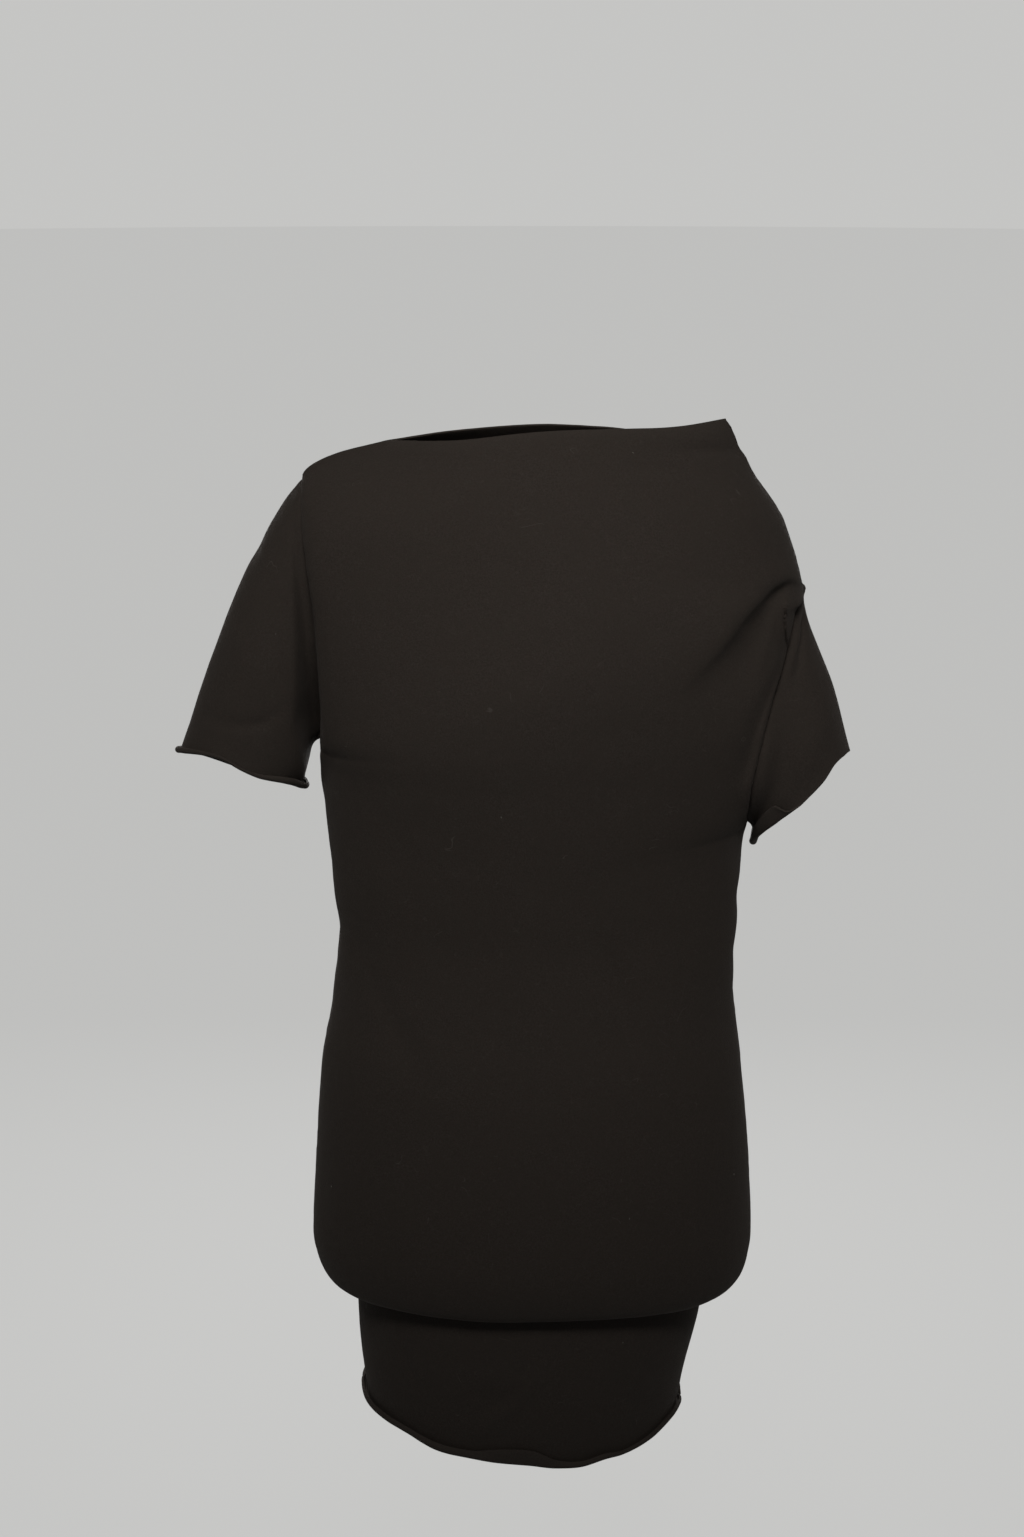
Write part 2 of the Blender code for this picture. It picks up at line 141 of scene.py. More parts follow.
# ---- Raw edges ----------------------------------------------------------------------------------
# A raw edge rolls outwards.  Each row has the share of the way along it, how far it is cut or pulled
# up there, the curl's radius, how many half turns it goes round, and how much cloth lies flipped up
# beyond it, with lengths in millimetres.  A sleeve's hem runs from the underarm up the back and down
# the front, and the band's from the wearer's right to the left.
HEMS = {
    "sleeve_right": [
        (0.000, -1, 3.4, 1.30, 0.8),    # knot of the underarm seam
        (0.025, -0.6, 2.5, 1.25, 0.8),
        (0.120, 1, 2.6, 1.30, 1),
        (0.250, -2, 2, 1.15, 1.2),
        (0.380, 2, 2.6, 1.30, 1),
        (0.500, 0.4, 2.4, 1.25, 0.8),
        (0.595, 2.8, 2.2, 1.20, 0.8),
        (0.670, 6.2, 1.8, 1.05, 1),
        (0.710, 5.6, 1.4, 0.90, 1),
        (0.755, 0.8, 1.2, 0.85, 1),
        (0.800, -0.9, 2, 1.15, 1),
        (0.860, 1.2, 2.7, 1.30, 1),
        (0.940, 0.4, 2.7, 1.30, 1),
        (0.975, -0.4, 2.6, 1.25, 0.8),
        (1.000, -1, 3.4, 1.30, 0.8),
    ],
    "sleeve_left": [
        (0.000, 1.4, 2.8, 1.20, 1),
        (0.030, 2, 1.8, 1.10, 4),
        (0.120, 3, 1.6, 1.00, 7),
        (0.220, 1, 1.4, 0.60, 1),
        (0.360, -2, 1.2, 0.35, 0.6),
        (0.500, -6.6, 1.1, 0.25, 0.6),
        (0.600, -2.6, 1.1, 0.25, 0.6),
        (0.645, -0.2, 1.1, 0.28, 0.6),    # a small notch
        (0.690, -2.7, 1.1, 0.35, 0.6),
        (0.760, -1.2, 1.2, 0.50, 0.6),
        (0.795, 1.8, 1.5, 0.80, 3),
        (0.818, 4.2, 1.9, 0.98, 13),    # flipped up
        (0.880, 7, 2.1, 1.00, 9.5),
        (0.945, 5.5, 2, 1.02, 4),
        (1.000, 1.4, 2.8, 1.20, 1),
    ],
    "band_front": [
        (0.000, 0, 2.6, 1.45, 0.8),    # knot of the side seam
        (0.025, 0, 2.6, 1.25, 1),
        (0.100, 0.6, 2.8, 1.30, 1),
        (0.165, 3.4, 3, 1.30, 1),
        (0.240, 4.5, 2.8, 1.30, 1),
        (0.310, 1.4, 3.3, 1.25, 2),
        (0.395, 2, 2.8, 1.15, 4),
        (0.450, 1.2, 2.4, 1.04, 11),    # flipped up
        (0.520, 0, 2.2, 1.02, 13),
        (0.570, -3.2, 2.4, 1.12, 5),
        (0.630, -4.6, 2.8, 1.25, 1),
        (0.680, -1.6, 3, 1.25, 1),
        (0.725, -4.2, 2.2, 1.15, 1.2),
        (0.800, -1.8, 2.5, 1.25, 1),
        (0.870, 2.4, 2.5, 1.25, 1),
        (0.930, 1, 2.4, 1.20, 1),
        (0.975, -4.6, 2.4, 1.20, 1),
        (1.000, -8, 2.6, 1.45, 0.8),
    ],
    "band_back": [
        (0.000, 0, 2.6, 1.45, 0.8),
        (0.030, 0, 2.6, 1.25, 1),
        (0.170, -2.2, 2.2, 1.20, 1),
        (0.290, 1.6, 1.8, 1.05, 8),
        (0.360, 2.4, 2, 1.10, 3),
        (0.500, -1, 2.4, 1.25, 1),
        (0.640, -3.6, 2.1, 1.15, 1.2),
        (0.820, 1.8, 2.5, 1.25, 1),
        (0.970, -4, 2.5, 1.20, 1),
        (1.000, -8, 2.6, 1.45, 0.8),
    ],
}
HEM_REACH = 0.045           # how far up from a raw edge its rises are taken in
CURL_STEPS = 11             # rows of facets round a curl
FLAP_STEPS = 4              # and along what is flipped up beyond it
RAW_EDGE_WIDTH = 0.012      # how far in from a raw edge the cloth is paler

# ---- Creases ------------------------------------------------------------------------------------
# A crease runs along a smooth line on the cloth, placed as seen from in front, from behind or from a
# side.  Each point has its place across and up as that view sees it, and then its sizes, all in
# millimetres.
Crease = namedtuple("Crease", "shape points")
View = namedtuple("View", "axes facing")    # the axes it sees across and up, the way towards it
VIEWS = {
    "front": View([0, 2], (0, -1, 0)),
    "back": View([0, 2], (0, 1, 0)),
    "right": View([1, 2], (-1, 0, 0)),
    "left": View([1, 2], (1, 0, 0)),
}
GRAZING = 0.05              # the least that cloth turns to a view to be placed on from there
CREASE_STEPS = 24           # straight stretches that stand for a crease's smooth line
CREASE_REACH = 6.0          # widths away from it that a crease is felt
CREASE_DEPTH = 0.035        # how far off the cloth's own level
HOLLOW_STEEPNESS = 4        # 2 gives the bell shape of a fold or valley, 4 a flat bed


def fold(*points):
    """A fold, or a trough where its height is below zero: height, half its breadth."""
    return Crease("fold", points)


def valley(*points):
    """Cloth pressed straight away from its view, or a swelling towards it where its height is above
    zero: height, half its breadth on the left of its run, the same on the right."""
    return Crease("valley", points)


def hollow(*points):
    """A valley with steep sides and a flat bed, by the same sizes."""
    return Crease("hollow", points)


def lip(*points):
    """Slack cloth that hangs over: how far it stands out on the left of its run, how far off it is
    fullest there, how far it drops on the right, and how far off it is deepest."""
    return Crease("lip", points)


CREASES = {
    "front": [
        # Wearer's left: cloth drawn to the over-arm nub hangs over the hollow before the armhole.
        lip((112, -202, 0, 22, 0, 26), (130, -186, 0.8, 20, 3, 26), (142, -176, 1.4, 16, 7, 27),
            (154, -164, 2, 13, 13, 28), (165, -152, 2.6, 11, 16.5, 26), (178, -136.5, 3.2, 10, 16, 19),
            (193.5, -123.5, 4, 9, 11, 11), (206.5, -115.5, 4.2, 8, 7.5, 6), (218.5, -114, 3.4, 6, 4.5, 4.5),
            (229, -120, 0.8, 5, 2, 4)),
        fold((205, -130, 0, 5), (202, -146, 1.4, 5), (198, -162, 1.8, 6), (191, -182, 1.2, 8),
             (182, -208, 0, 12)),
        valley((222.5, -128, 0, 4, 5), (220, -142, -3.4, 5, 6), (216.5, -162, -4.4, 5, 6),
               (211, -186, -4.4, 5, 6), (201, -208, -4.2, 5, 7), (189.8, -239, -3.6, 6, 9),
               (183.1, -268, -2.4, 7, 10), (179.5, -290, 0, 8, 10)),
        valley((206, -210, 0, 8, 8), (198.5, -240, 10, 12, 8), (196, -262, 17, 13, 9),
               (192.5, -290, 19, 13, 12), (189, -315, 12, 12, 12), (187, -338, 0, 8, 10)),
        # Left sleeve: two soft folds hang from the nub.
        fold((230, -140, 0, 3), (227.5, -159, 2.4, 3.4), (224, -178, 2.4, 4), (218, -200, 0, 6)),
        fold((236, -145, -1, 3), (234, -158, -3.6, 3.6), (231, -176, -3.6, 4), (226, -197, -1.6, 6),
             (222, -218, 0, 8)),
        fold((262, -225, 0, 10), (243, -252, 1.2, 11), (226, -290, 0, 12)),
        # Slack across the left shoulder, below the neckline's raised corner.
        fold((88, 1, 0, 6), (110, -0.5, -1, 5.5), (136, -2, -2.2, 5), (158, -4.5, -2.8, 5),
             (174.5, -6, -2.4, 6)),
        fold((66, -11, 0, 6), (85, -13, -1, 6), (112, -15, -1, 6), (140, -18, 0, 8)),
        fold((110, 6, 0, 5), (138, 5.5, 1.2, 5), (160, 5, 0, 5)),
        # Wearer's right: the sleeve drops away beside the body, and its underside lies deep.
        hollow((-202, -58, 0, 4, 5), (-199, -87, -4, 4, 8), (-195, -127, -10, 5, 9),
               (-192.5, -173, -18, 6, 10), (-191, -214, -30, 6, 11.5), (-191.5, -240, -36, 7, 13),
               (-193.5, -262, -34, 8, 12), (-196, -284, -20, 7, 10), (-198, -304, 0, 6, 8)),
        fold((-208.5, -322, 0, 6), (-207.5, -300, 2.4, 6), (-206, -268, 2.4, 6), (-205, -236, 0, 6)),
        # Below the bust: the cloth eases into the waist from both underarms.
        valley((-186, -259, 0, 18, 40), (-160, -259, 1.7, 22, 45), (-131, -258, 1.3, 24, 45),
               (-97, -258, 0.9, 26, 45), (-74, -258, 0.6, 28, 45), (-40, -258, 0, 30, 45)),
        valley((50, -335, 0, 30, 45), (90, -335, 0.7, 28, 45), (108, -335, 1.1, 26, 45),
               (144, -336.5, 1.7, 24, 45), (165, -341, 1.9, 22, 45), (186, -348, 0, 18, 40)),
        # Right sleeve.
        fold((-300, -232, 0, 6), (-268, -236, -1, 7), (-240, -236.5, -1.6, 6), (-222, -228, -0.8, 6),
             (-212, -220, 0, 7)),
        fold((-246, -78, 0, 10), (-240, -96, -2, 11), (-232, -122, 0, 12)),
        fold((-262, -140, 0, 14), (-250, -178, 1.4, 16), (-246, -215, 0, 16)),
        # Faint drapes down the front.
        fold((-9, -365, 0, 12), (-9, -445, 2, 13), (-8, -530, 0, 14)),
        fold((-160, -430, 0, 12), (-125, -500, -2, 13), (-82, -575, 0, 16)),
        fold((56, -410, 0, 12), (76, -470, -2, 12), (98, -540, 0, 14)),
        fold((-150, -300, 0, 16), (-138, -370, 1.4, 18), (-140, -440, 0, 18)),
        # Hem band.
        fold((-119, -785, 0, 5), (-118.5, -800, -1, 5), (-117.5, -826, -1.6, 5), (-108, -848, -1.2, 5),
             (-98, -866, 0, 6)),
        fold((14, -826, 0, 7), (-8, -846, 1.8, 8), (-44, -884, 1.2, 9), (-56, -896, 0, 9)),
        fold((0, -836, 0, 6), (-30, -858, -1.6, 7), (-66, -880, 0, 8)),
        fold((-66, -846, 0, 9), (-40, -852, -1, 9), (-10, -848, 0, 10)),
        fold((75, -856, 0, 9), (94, -872, -1.4, 8), (116, -878, 0, 10)),
    ],
    "back": [
        # Slack across the left shoulder.
        fold((172, -6, -1.4, 6), (150, -10, -1.2, 8), (125, -12, 0, 10)),
        # Slack below the left shoulder, and the drop before each sleeve.
        lip((228, -127, 0, 6, 0, 5), (206, -132, 2.6, 9, 6, 6), (180, -155, 2.4, 12, 5.8, 7),
            (150, -182, 1.4, 14, 3.4, 10), (120, -205, 0, 18, 0, 14)),
        fold((226, -132, 0, 4), (218, -160, -3.6, 5), (206, -205, -4.4, 7), (190, -260, -3, 9),
             (186, -305, 0, 10)),
        fold((238, -148, 0, 4), (234, -185, -3, 6), (228, -225, 0, 10)),
        fold((-199, -75, 0, 6), (-196, -130, -3.4, 8), (-197, -190, -5.8, 9), (-200, -245, -6.6, 9),
             (-205, -300, -3, 9)),
        fold((-290, -215, 0, 9), (-255, -232, -1.8, 9), (-222, -228, 0, 10)),
        fold((-150, -345, 0, 14), (-60, -362, -2.6, 13), (30, -352, 0, 14)),
        fold((-50, -398, 0, 12), (60, -418, -3.4, 12), (160, -402, 0, 14)),
        fold((-140, -432, 0, 14), (-50, -455, -2.6, 13), (50, -450, 0, 14)),
        fold((-100, -385, 0, 16), (10, -386, 2, 14), (110, -372, 0, 16)),
        fold((10, -30, 0, 12), (16, -110, 1.6, 16), (10, -210, 0, 18)),
        fold((150, -60, 0, 12), (100, -95, -2.2, 14), (50, -140, 0, 18)),
        # Hem band.
        fold((-90, -800, 0, 10), (-60, -840, -1.8, 10), (-40, -880, 0, 11)),
        fold((60, -810, 0, 10), (50, -850, 1.8, 11), (20, -885, 0, 12)),
    ],
    "right": [
        # Slack above the waist.
        fold((60, -345, 0, 12), (15, -372, -2.4, 12), (-40, -380, 0, 14)),
        fold((66, -402, 0, 12), (20, -432, -3, 12), (-30, -430, 0, 14)),
        fold((70, -455, 0, 14), (20, -485, 2, 14), (-30, -492, 0, 16)),
    ],
    "left": [
        # Slack above the waist.
        fold((56, -385, 0, 12), (10, -405, -2.6, 12), (-40, -400, 0, 14)),
        fold((70, -440, 0, 12), (20, -462, -2.8, 12), (-36, -452, 0, 14)),
        fold((66, -500, 0, 16), (10, -520, 1.8, 16), (-40, -512, 0, 18)),
    ],
}

# ---- Small unevenness of worn cloth -------------------------------------------------------------
Ripple = namedtuple("Ripple", "waves height")
RIPPLES = [Ripple(9.0, 0.0013), Ripple(32.0, 0.0004), Ripple(110.0, 0.0001)]    # waves to a metre
GROOVE_DEPTH = 0.0008       # how far the cloth dips into a seam
GROOVE_WIDTH = 0.0024
PUCKER_HEIGHT = 0.0005      # how far it puckers beside one
PUCKER_WIDTH = 0.0090
PUCKER_WAVES = 110.0
SEAM_BLEND = 8              # rows or columns over which two pieces are drawn together at a seam

# A nub is a small knot where a seam ends, or cloth bunched at one: its place, height and half its
# breadth.
Nub = namedtuple("Nub", "x y z height width")
NUBS = [Nub(0.2345, 0.0, -0.1285, 0.0040, 0.0042), Nub(0.1855, -0.010, -0.322, 0.0030, 0.0140)]

# ---- Flat sizes of the cut pieces ---------------------------------------------------------------
# The record for a cut piece, which nothing here fills in: width and length, its area, how it is held and
# the pieces that it hangs from.
Cut = namedtuple("Cut", "width length area held hangs_from")

# ---- Knit ---------------------------------------------------------------------------------------
KNIT_BROWN = (0.0300, 0.0238, 0.0192, 1.0)
KNIT_DARK = (0.0225, 0.0172, 0.0138, 1.0)
KNIT_LIGHT = (0.0390, 0.0315, 0.0262, 1.0)
KNIT_RED = (0.0360, 0.0232, 0.0190, 1.0)
KNIT_GREEN = (0.0272, 0.0258, 0.0188, 1.0)
# painted shade, laid into the grooves between and beside the stitches
GROOVE_SHADE_COLOUR = (0.0110, 0.0080, 0.0062, 1.0)
FIBRE_COLOUR = (0.0640, 0.0545, 0.0465, 1.0)
LINT_COLOUR = (0.2100, 0.1950, 0.1750, 1.0)
SHEEN_TINT = (0.66, 0.57, 0.50, 1.0)
STRAY_FIBRES = [(150.0, 0.020, 0.56, 0.14), (38.0, 0.006, 0.66, 0.60)]  # waves, width, rarity, share
WALE = 0.00125              # width of a column of stitches
COURSE = 0.00100            # height of a row of stitches
NAP_RELIEF = 0.0004         # how far the stitches and the nap stand out
FELT_WAVES = 120.0          # patches of thicker and thinner felting, in waves to a metre
NAP_WAVES = 1500.0          # short fibres
PILE_WAVES = 560.0          # tufts of them
HEATHER_WAVES = 680.0       # dark and light yarn
CLOUD_WAVES = 26.0          # its wider unevenness
DRIFT_WAVES = 310.0         # reddish and greenish drifts
LINT_CELLS = 10.0           # cells to a metre, each with a speck of lint or none
LINT_SQUEEZE = (1.0, 0.5, 1.0)  # makes a speck twice as long down the cloth as across it

# ---- Studio -------------------------------------------------------------------------------------
PHOTO_HEIGHT = 1537         # pixels
FOCAL_LENGTH = 2500.0       # pixels
SENSOR = 36.0               # millimetres, along the picture's long side
CAMERA_PLACE = (-0.019, -2.15, 0.296)
CAMERA_PITCH = radians(15.3)    # how far down it looks
FLOOR_HEIGHT = -1.42
FLOOR_RADIUS = 30.0
FLOOR_SIDES = 128
FLOOR_COLOUR = (0.06, 0.06, 0.06, 1.0)
FLOOR_GLOW = 0.92           # share of the backdrop's tone that the floor gives by itself
BACKDROP_COLOUR = (0.56, 0.56, 0.55, 1.0)
LIGHT_FROM_ABOVE = 0.15
LIGHT_FROM_BELOW = 0.016
DIMMEST_DIRECTION = -0.6    # how far down a direction points where the light is at its dimmest
Softbox = namedtuple("Softbox", "name place aim width height spread watts")
SOFTBOXES = [
    Softbox("key", (-0.05, -1.60, 1.20), (0.0, 0.0, -0.22), 0.9, 0.6, radians(41), 2.15),
    Softbox("back", (0.00, 1.90, 0.10), (0.0, 0.0, -0.45), 1.6, 1.2, pi, 52.0),
]

# A piece's middle surface is a grid of points, row by row from its top edge down.  facing is the sign
# that turns its normals outwards, and ring is true for a tube.
Piece = namedtuple("Piece", "name points facing ring")


# ---- Curves and sections ------------------------------------------------------------------------
def unit(vectors):
    """Vectors of length one."""
    return vectors / np.linalg.norm(vectors, axis=-1, keepdims=True)


def metres(millimetres):
    """Numbers of millimetres as metres, to the micrometre."""
    return np.round(np.array(millimetres) / MILLIMETRES, 6)


def stations(table):
    """The places down a table, in fractional rows, where a row of facets lies."""
    places = [number + step / row.rows for number, row in enumerate(table) for step in range(row.rows)]
    return np.array(places + [len(table) - 1.0])


def spline(table, places):
    """The numbers of a table read at fractional rows, on smooth curves through its rows."""
    table = np.asarray(table, dtype=float)
    slopes = np.gradient(table, axis=0)
    low = np.clip(places.astype(int), 0, len(table) - 2)
    t = (places - low)[:, None]
    step = table[low + 1] - table[low]
    bend = 3 * step - 2 * slopes[low] - slopes[low + 1]
    twist = slopes[low] + slopes[low + 1] - 2 * step
    return table[low] + slopes[low] * t + bend * t ** 2 + twist * t ** 3


def half_rings(side, sizes, right_open=0.0, left_open=0.0):
    """Rows across one panel from its right edge to its left, each half of a rounded section.

    side is -1 in front and 1 behind.  right_open and left_open are how far an armhole holds the
    panel's edge away from the plane Y = 0.
    """
    right_x, right_z, left_x, left_z, mid_z, front, back = (column[:, None] for column in sizes.T)
    reach = front if side < 0 else back
    angle = np.linspace(-pi / 2, pi / 2, COLUMNS + 1)
    across = np.sin(angle)
    bulge = np.cos(angle).clip(0) ** (2 / BODY_SQUARENESS)
    right_edge = np.reshape(right_open, (-1, 1)) * ((1 - across) / 2) ** ARMHOLE_FADE
    left_edge = np.reshape(left_open, (-1, 1)) * ((1 + across) / 2) ** ARMHOLE_FADE
    edge = right_edge + left_edge
    x = (right_x + left_x) / 2 + (left_x - right_x) / 2 * across
    y = side * (edge + (reach - edge) * bulge)
    sides_z = (right_z + left_z) / 2
    z = mid_z + (left_z - right_z) / 2 * across + (sides_z - mid_z) * across ** 2
    return np.stack(np.broadcast_arrays(x, y, z), axis=-1)


def surface_normals(points, facing, ring=False):
    """Outward directions on a grid of points."""
    down = np.gradient(points, axis=0)
    if ring:
        across = np.roll(points, -1, axis=1) - np.roll(points, 1, axis=1)
    else:
        across = np.gradient(points, axis=1)
    return facing * unit(np.cross(down, across))


def edge_distance(points, edge):
    """How far each point of a grid lies from one of its edges, along the cloth."""
    axis = 0 if edge in ("top", "bottom") else 1
    steps = np.linalg.norm(np.diff(points, axis=axis), axis=-1)
    if edge in ("bottom", "left"):
        steps = np.flip(steps, axis)
    start = np.zeros_like(np.take(steps, [0], axis))
    distance = np.concatenate([start, np.cumsum(steps, axis)], axis)
    return np.flip(distance, axis) if edge in ("bottom", "left") else distance


# ---- The pieces ---------------------------------------------------------------------------------
def armhole_opening(places, first, last):
    """How far an armhole holds a panel's edge off the side at each level: half a wave."""
    return ARMHOLE_REACH * np.sin(pi * ((places - first) / (last - first)).clip(0, 1))


def neck_edge(side):
    """The top edge of a panel: the right shoulder seam, then the neckline."""
    tip = np.array([BODY[0].right_x, 0.0, BODY[0].right_z])
    corner = np.array([NECK[0].x, 0.0, NECK[0].front_z])
    along = np.linspace(0, 1, SHOULDER_COLUMNS, endpoint=False)[:, None]
    shoulder = tip + (corner - tip) * along
    shoulder[:, 2] += SHOULDER_ARCH * np.sin(pi * np.sqrt(along[:, 0]))
    if side < 0:
        neck = [(row.x, -row.front, row.front_z) for row in NECK]
    else:
        neck = [(row.x, row.back, row.back_z) for row in NECK]
    places = np.linspace(0, len(NECK) - 1, COLUMNS - SHOULDER_COLUMNS + 1)
    return np.concatenate([shoulder, spline(neck, places)])


def body_panel(name, side):
    """The front or back panel, from the shoulder and neck down to the seam with the hem band."""
    places = stations(BODY)
    sizes = spline([row[1:] for row in BODY], places)
    right_open = armhole_opening(places, 0, RIGHT_UNDERARM_LEVEL)
    left_open = armhole_opening(places, NUB_LEVEL, LEFT_UNDERARM_LEVEL)
    points = half_rings(side, sizes, right_open, left_open)
    fade = (1 - places / NECK_FADE).clip(0) ** 2
    points += fade[:, None, None] * (neck_edge(side) - points[0])
    return Piece(name, points, -side, False)


def armhole_ring(front, back, first, last, column):
    """The points round an armhole, from the underarm up the back panel's edge and down the front's."""
    places = stations(BODY)
    rows = np.flatnonzero((places >= first) & (places <= last))
    return np.concatenate([back.points[rows[:0:-1], column], front.points[rows[:-1], column]])


def sleeve(name, table, armhole, facing):
    """A tube of slanted rings from an armhole to its hem."""
    places = stations(table)
    sizes = spline([row[1:] for row in table], places)
    over_x, over_z, under_x, under_z, reach, lift = (column[:, None] for column in sizes.T)
    height = (armhole[:, 2] - table[0].under_z) / (table[0].over_z - table[0].under_z)
    up = (2 * height - 1).clip(-1, 1)
    squareness = np.where(up < 0, UNDERARM_SQUARENESS, 2.0)
    forward = np.where(armhole[:, 1] <= 0, 1, -1) * (1 - abs(up) ** squareness) ** (1 / squareness)
    x = (over_x + under_x) / 2 + (over_x - under_x) / 2 * up
    y = -reach * forward
    z = (over_z + under_z) / 2 + (over_z - under_z) / 2 * up + lift * forward
    points = np.stack(np.broadcast_arrays(x, y, z), axis=-1)
    fade = (1 - places / (len(table) - 1)) ** 2
    points += fade[:, None, None] * (armhole - points[0])
    return Piece(name, points, facing, True)


def band_half(name, side):
    """Half of the hem band, hanging from the body's turned-up lower edge to its hem."""
    sizes = spline([row[1:] for row in BAND], stations(BAND))
    return Piece(name, half_rings(side, sizes), -side, False)


# ---- Creases, ripples and seams -----------------------------------------------------------------
def cloth_seen(pieces, view):
    """The points of the plain pieces that face a view."""
    facing = np.array(view.facing)
    normals = [surface_normals(piece.points, piece.facing, piece.ring) for piece in pieces]
    return np.concatenate([piece.points[normal @ facing > GRAZING]
                           for piece, normal in zip(pieces, normals)])


def crease_line(points, axes, seen):
    """A crease's smooth line laid on the cloth that its view sees, with its sizes along it."""
    rows = []
    for point in metres(points):
        place = seen[np.argmin(np.sum((seen[:, axes] - point[:2]) ** 2, axis=1))].copy()
        place[axes] = point[:2]
        rows.append([*place, *point[2:]])
    return spline(rows, np.linspace(0, len(rows) - 1, CREASE_STEPS + 1))


def crease_profile(shape, sizes, away, left):
    """A crease's height at a distance from its line."""
    if shape == "fold":
        height, width = sizes.T
        return height * np.exp(-(away / width) ** 2)
    if shape in ("valley", "hollow"):
        height, left_width, right_width = sizes.T
        steepness = HOLLOW_STEEPNESS if shape == "hollow" else 2
        return height * np.exp(-(away / np.where(left, left_width, right_width)) ** steepness)
    raised, raised_at, sunk, sunk_at = sizes.T
    height, reach = np.where(left, raised, -sunk), away / np.where(left, raised_at, sunk_at)
    return height * reach * np.exp(1 - reach)


def crease_heights(shape, facing, line, points, normals):
    """How far one crease raises or sinks each point: a fold along the cloth, the others as seen."""
    seen_flat = np.ones(3) if shape == "fold" else 1 - np.abs(facing)
    if shape != "fold":
        normals = np.broadcast_to(np.array(facing, float), normals.shape)
    heights = np.zeros(points.shape[:-1])
    margin = CREASE_REACH * line[:, 4:].max()
    low, high = line[:, :3].min(axis=0) - margin, line[:, :3].max(axis=0) + margin
    near = ((points > low) & (points < high)).all(axis=-1)
    places, outward = points[near], normals[near]
    nearest = np.full(len(places), np.inf)
    risen = np.zeros(len(places))
    for start, end in zip(line[:-1], line[1:]):
        run = (end[:3] - start[:3]) * seen_flat
        along = ((places - start[:3]) @ run / (run @ run)).clip(0, 1)[:, None]
        off = places - start[:3] - along * (end[:3] - start[:3])
        depth = np.sum(off * outward, axis=1)
        level = off - depth[:, None] * outward
        left = np.sum(np.cross(outward, run) * level, axis=1) > 0
        sizes = start[3:] + along * (end[3:] - start[3:])
        height = crease_profile(shape, sizes, np.linalg.norm(level, axis=1), left)
        height *= (1 - (depth / CREASE_DEPTH) ** 2).clip(0)
        distance = np.linalg.norm(off * seen_flat, axis=1)
        risen = np.where(distance < nearest, height, risen)
        nearest = np.minimum(nearest, distance)
    heights[near] = risen
    return heights


def noise_at(points, waves):
    """Smooth unevenness from -1 to 1, with so many waves to a metre."""
    flat = (points * waves).reshape(-1, 3)
    return np.array([noise.noise(Vector(place)) for place in flat]).reshape(points.shape[:-1])


def shaped(piece, lines, sewn):
    """A piece with its creases, ripples, nubs and the dips along its sewn edges pressed in."""
    points = piece.points
    normals = surface_normals(points, piece.facing, piece.ring)
    heights = np.zeros(points.shape[:-1])
    pressed = np.zeros(points.shape)
    for shape, facing, line in lines:
        risen = crease_heights(shape, facing, line, points, normals)
        if shape == "fold":
            heights += risen
        else:
            pressed += risen[..., None] * np.array(facing)
    for ripple in RIPPLES:
        heights += ripple.height * noise_at(points, ripple.waves)
    for nub in NUBS:
        away = np.linalg.norm(points - np.array([nub.x, nub.y, nub.z]), axis=-1)
        heights += nub.height * np.exp(-(away / nub.width) ** 2)
    pucker = noise_at(points, PUCKER_WAVES)
    for edge in sewn:
        distance = edge_distance(points, edge)
        heights -= GROOVE_DEPTH * np.exp(-(distance / GROOVE_WIDTH) ** 2)
        heights += PUCKER_HEIGHT * pucker * np.exp(-(distance / PUCKER_WIDTH) ** 2)
    return piece._replace(points=points + heights[..., None] * normals + pressed)


def hem_sizes(piece):
    """A raw edge's rise, curl radius, half turns and flap, each as a column with its points."""
    edge = piece.points[-1:]
    if piece.ring:
        edge = np.concatenate([edge, edge[:, :1]], axis=1)
    share = edge_distance(edge, "right")[0]
    share = (share / share[-1])[:piece.points.shape[1]]
    table = np.array(HEMS[piece.name])
    table[:, [1, 2, 4]] = metres(table[:, [1, 2, 4]])
    places = np.interp(share, table[:, 0], np.arange(len(table)))
    return spline(table[:, 1:], places).T[..., None]


def with_hem(piece):
    """A piece with its raw edge cut to its own line, rolled outwards and flipped up."""
    points = piece.points
    rise, radius, half_turns, flap = hem_sizes(piece)
    turn = pi * half_turns
    distance = edge_distance(points, "bottom")
    fade = (1 - distance / np.minimum(HEM_REACH, distance[0])).clip(0) ** 2
    points = points - fade[..., None] * rise * unit(points[-1] - points[-2])
    onward = unit(points[-1] - points[-2])
    outward = surface_normals(points, piece.facing, piece.ring)[-1]
    if not piece.ring:
        outward[[0, -1], 1] = 0.0
    outward = unit(outward - np.sum(outward * onward, axis=-1, keepdims=True) * onward)
    rows = [points]
    for share in np.arange(1, CURL_STEPS + 1) / CURL_STEPS:
        round_curl = (1 - np.cos(share * turn)) * outward + np.sin(share * turn) * onward
        rows.append(points[-1:] + radius * round_curl)
    away = np.sin(turn) * outward + np.cos(turn) * onward
    tip = rows[-1]
    for share in np.arange(1, FLAP_STEPS + 1) / FLAP_STEPS:
        rows.append(tip + share * flap * away)
    return piece._replace(points=np.concatenate(rows))


def place_key(point):
    """A point's place to a micrometre, the same for the points of two pieces that meet there."""
    return tuple(np.round(point, 6))


def edge_cells(piece):
    """The row and column of each point on a piece's edges."""
    rows, columns = piece.points.shape[:2]
    ends = [(row, column) for row in (0, rows - 1) for column in range(columns)]
    if piece.ring:
        return ends
    sides = [(row, column) for row in range(1, rows - 1) for column in (0, columns - 1)]
    return ends + sides


